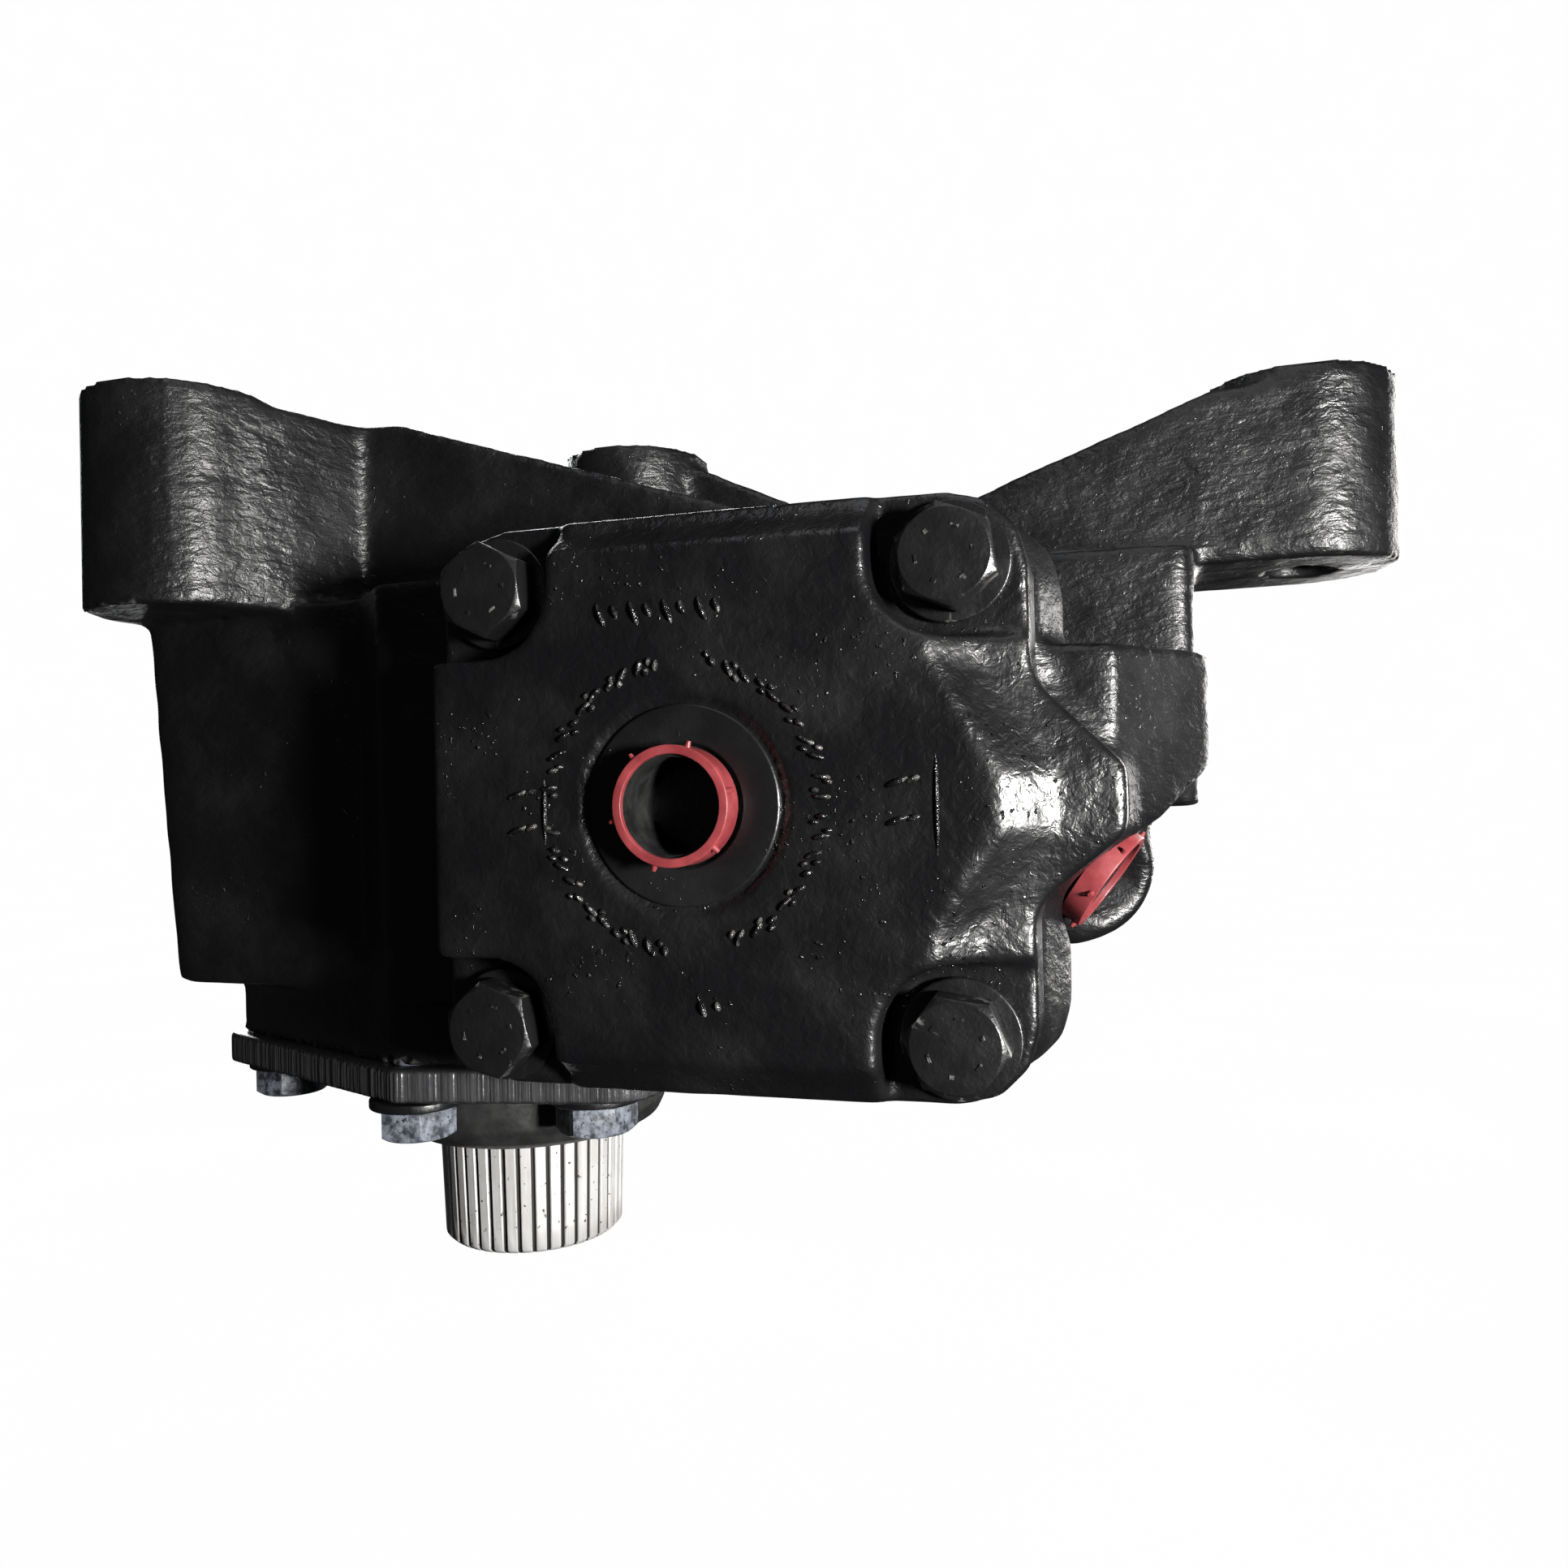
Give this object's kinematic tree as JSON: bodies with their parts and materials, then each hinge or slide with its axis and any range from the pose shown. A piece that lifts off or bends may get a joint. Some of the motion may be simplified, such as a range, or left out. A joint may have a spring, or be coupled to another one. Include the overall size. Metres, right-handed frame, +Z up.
{
  "type": "integral hydraulic power steering gear",
  "caption": "Truck power steering gear: bored cast housing on mounting arms, bolted cylinder head with oil port, splined output shaft below and input shaft behind.",
  "frame": {"origin": "in the plane of the three mounting pads, at the middle of the three bosses", "axes": "+Z up through the mounting pads, away from the output shaft's end; +Y along the piston bore from the cylinder head towards the input shaft; +X to the right seen from the cylinder head"},
  "size_m": [0.4, 0.32, 0.271],
  "materials": {
    "black_casting": "gloss black paint over rough casting",
    "black_fastener": "gloss black paint over forged steel",
    "machined_steel": "machined and oiled",
    "bearing_steel": "ground",
    "black_rubber": "moulded",
    "red_plastic": "moulded, semi-matt",
    "gasket_sheet": "sheet"
  },
  "bodies": {
    "case": {"housing": "black_casting", "cylinder_head": "black_casting", "output_flange": "black_casting", "bearing_cap": "black_casting", "head_gasket": "gasket_sheet", "adjuster_nut": "machined_steel", "adjuster_screw": "machined_steel", "head_bolt_1": "black_fastener", "head_bolt_2": "black_fastener", "head_bolt_3": "black_fastener", "head_bolt_4": "black_fastener", "head_washer_1": "black_fastener", "head_washer_2": "black_fastener", "head_washer_3": "black_fastener", "head_washer_4": "black_fastener", "flange_bolt_1": "black_fastener", "flange_bolt_2": "black_fastener", "flange_bolt_3": "black_fastener", "flange_bolt_4": "black_fastener", "flange_bolt_5": "black_fastener", "flange_bolt_6": "black_fastener", "flange_washer_1": "black_fastener", "flange_washer_2": "black_fastener", "flange_washer_3": "black_fastener", "flange_washer_4": "black_fastener", "flange_washer_5": "black_fastener", "flange_washer_6": "black_fastener", "cap_bolt_1": "black_fastener", "cap_bolt_2": "black_fastener", "cap_bolt_3": "black_fastener", "cap_bolt_4": "black_fastener", "cap_washer_1": "black_fastener", "cap_washer_2": "black_fastener", "cap_washer_3": "black_fastener", "cap_washer_4": "black_fastener", "head_port_plug": "red_plastic", "side_port_plug": "red_plastic", "return_port_plug": "red_plastic", "output_bearing_lower": "bearing_steel", "output_bearing_upper": "bearing_steel", "output_oil_seal": "black_rubber", "output_dust_boot": "black_rubber", "thrust_bearing_front": "bearing_steel", "thrust_bearing_rear": "bearing_steel", "input_oil_seal": "black_rubber", "input_dust_seal": "black_rubber"},
    "output": {"sector_shaft": "machined_steel"},
    "piston": {"rack_piston": "machined_steel", "piston_ring": "bearing_steel", "ball_train": "bearing_steel"},
    "input": {"worm_shaft": "machined_steel", "input_shaft": "machined_steel", "torsion_bar": "machined_steel", "valve_sleeve": "machined_steel"}
  },
  "joints": [
    {"name": "piston_slide", "type": "slide", "parent": "case", "child": "piston", "axis": [0, 1, 0], "range_m": [-0.039, 0.039]},
    {"name": "output_swing", "type": "hinge", "parent": "case", "child": "output", "pos_m": [-0.0623, -0.015, -0.129], "axis": [0, 0, 1], "range_deg": [-38, 38]},
    {"name": "input_turn", "type": "hinge", "parent": "case", "child": "input", "pos_m": [0.04, 0.1475, -0.129], "axis": [0, 1, 0], "range_deg": [-878, 878]}
  ],
  "couplings": [
    {"joint": "output_swing", "follows": "piston_slide", "rad_per_m": 16.949},
    {"joint": "input_turn", "follows": "piston_slide", "rad_per_m": -392.7}
  ]
}
